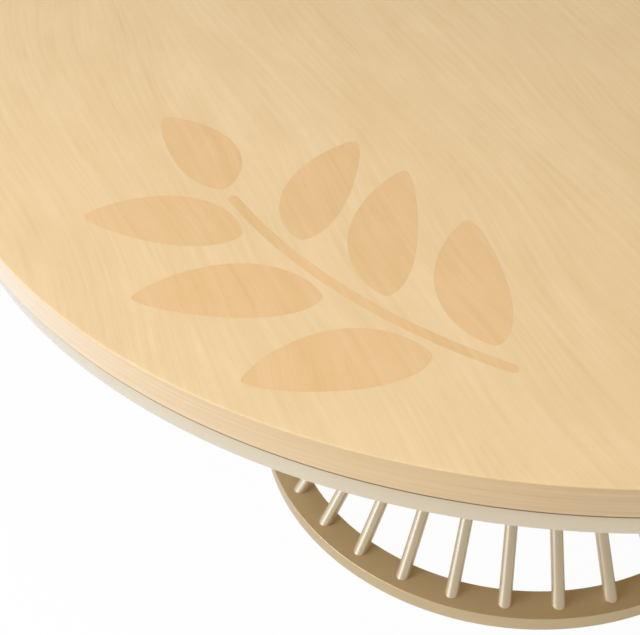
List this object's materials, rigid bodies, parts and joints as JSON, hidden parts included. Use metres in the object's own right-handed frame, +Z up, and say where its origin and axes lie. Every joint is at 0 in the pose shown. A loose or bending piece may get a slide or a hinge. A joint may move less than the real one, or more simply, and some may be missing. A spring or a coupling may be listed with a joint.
{
  "type": "dining table",
  "caption": "Round dining table: veneered wooden top with a leaf-sprig inlay and metal apron, on an hourglass pedestal of slim metal rods between two rings, with levelling glides.",
  "frame": {"origin": "on the floor, under the middle of the round top", "axes": "+Z up, square to the top's face; +X through the axis of rod_01; the picture was taken from the -Y side"},
  "size_m": [1.6, 1.6, 0.75],
  "materials": {
    "pale_veneer": "satin clear-lacquered pale wood veneer",
    "inlay_veneer": "satin clear-lacquered darker wood veneer",
    "edge_wood": "satin clear-lacquered solid wood",
    "core_board": "raw board",
    "backing_veneer": "balancing veneer with a dark-sealed rim",
    "champagne_metal": "satin champagne coating on steel",
    "zinc_steel": "zinc-plated",
    "dark_nylon": "moulded nylon"
  },
  "bodies": {
    "table": {"core_panel": "core_board", "edge_band": "edge_wood", "face_veneer": "pale_veneer", "backing_veneer": "backing_veneer", "inlay_stem": "inlay_veneer", "inlay_leaf_1": "inlay_veneer", "inlay_leaf_2": "inlay_veneer", "inlay_leaf_3": "inlay_veneer", "inlay_leaf_4": "inlay_veneer", "inlay_leaf_5": "inlay_veneer", "inlay_leaf_6": "inlay_veneer", "inlay_leaf_7": "inlay_veneer", "apron_ring": "champagne_metal", "top_ring": "champagne_metal", "waist_hoop": "champagne_metal", "base_ring": "champagne_metal", "rod_01": "champagne_metal", "rod_02": "champagne_metal", "rod_03": "champagne_metal", "rod_04": "champagne_metal", "rod_05": "champagne_metal", "rod_06": "champagne_metal", "rod_07": "champagne_metal", "rod_08": "champagne_metal", "rod_09": "champagne_metal", "rod_10": "champagne_metal", "rod_11": "champagne_metal", "rod_12": "champagne_metal", "rod_13": "champagne_metal", "rod_14": "champagne_metal", "rod_15": "champagne_metal", "rod_16": "champagne_metal", "rod_17": "champagne_metal", "rod_18": "champagne_metal", "rod_19": "champagne_metal", "rod_20": "champagne_metal", "rod_21": "champagne_metal", "rod_22": "champagne_metal", "rod_23": "champagne_metal", "rod_24": "champagne_metal", "rod_25": "champagne_metal", "rod_26": "champagne_metal", "rod_27": "champagne_metal", "rod_28": "champagne_metal", "rod_29": "champagne_metal", "rod_30": "champagne_metal", "rod_31": "champagne_metal", "rod_32": "champagne_metal", "fixing_bolt_1": "zinc_steel", "fixing_bolt_2": "zinc_steel", "fixing_bolt_3": "zinc_steel", "fixing_bolt_4": "zinc_steel"},
    "pad_1": {"glide_pad_1": "dark_nylon"},
    "pad_2": {"glide_pad_2": "dark_nylon"},
    "pad_3": {"glide_pad_3": "dark_nylon"},
    "pad_4": {"glide_pad_4": "dark_nylon"},
    "stud_1": {"glide_stud_1": "zinc_steel"},
    "stud_2": {"glide_stud_2": "zinc_steel"},
    "stud_3": {"glide_stud_3": "zinc_steel"},
    "stud_4": {"glide_stud_4": "zinc_steel"}
  },
  "joints": [
    {"name": "glide_1_travel", "type": "slide", "parent": "table", "child": "pad_1", "axis": [0, 0, -1], "range_m": [0, 0.008]},
    {"name": "glide_2_travel", "type": "slide", "parent": "table", "child": "pad_2", "axis": [0, 0, -1], "range_m": [0, 0.008]},
    {"name": "glide_3_travel", "type": "slide", "parent": "table", "child": "pad_3", "axis": [0, 0, -1], "range_m": [0, 0.008]},
    {"name": "glide_4_travel", "type": "slide", "parent": "table", "child": "pad_4", "axis": [0, 0, -1], "range_m": [0, 0.008]},
    {"name": "stud_1_turn", "type": "hinge", "parent": "pad_1", "child": "stud_1", "pos_m": [0.39807, 0.03921, 0], "axis": [0, 0, -1], "range_deg": [0, 2310]},
    {"name": "stud_2_turn", "type": "hinge", "parent": "pad_2", "child": "stud_2", "pos_m": [-0.03921, 0.39807, 0], "axis": [0, 0, -1], "range_deg": [0, 2310]},
    {"name": "stud_3_turn", "type": "hinge", "parent": "pad_3", "child": "stud_3", "pos_m": [-0.39807, -0.03921, 0], "axis": [0, 0, -1], "range_deg": [0, 2310]},
    {"name": "stud_4_turn", "type": "hinge", "parent": "pad_4", "child": "stud_4", "pos_m": [0.03921, -0.39807, 0], "axis": [0, 0, -1], "range_deg": [0, 2310]}
  ],
  "couplings": [
    {"joint": "stud_1_turn", "follows": "glide_1_travel", "rad_per_m": 5026.5},
    {"joint": "stud_2_turn", "follows": "glide_2_travel", "rad_per_m": 5026.5},
    {"joint": "stud_3_turn", "follows": "glide_3_travel", "rad_per_m": 5026.5},
    {"joint": "stud_4_turn", "follows": "glide_4_travel", "rad_per_m": 5026.5}
  ]
}
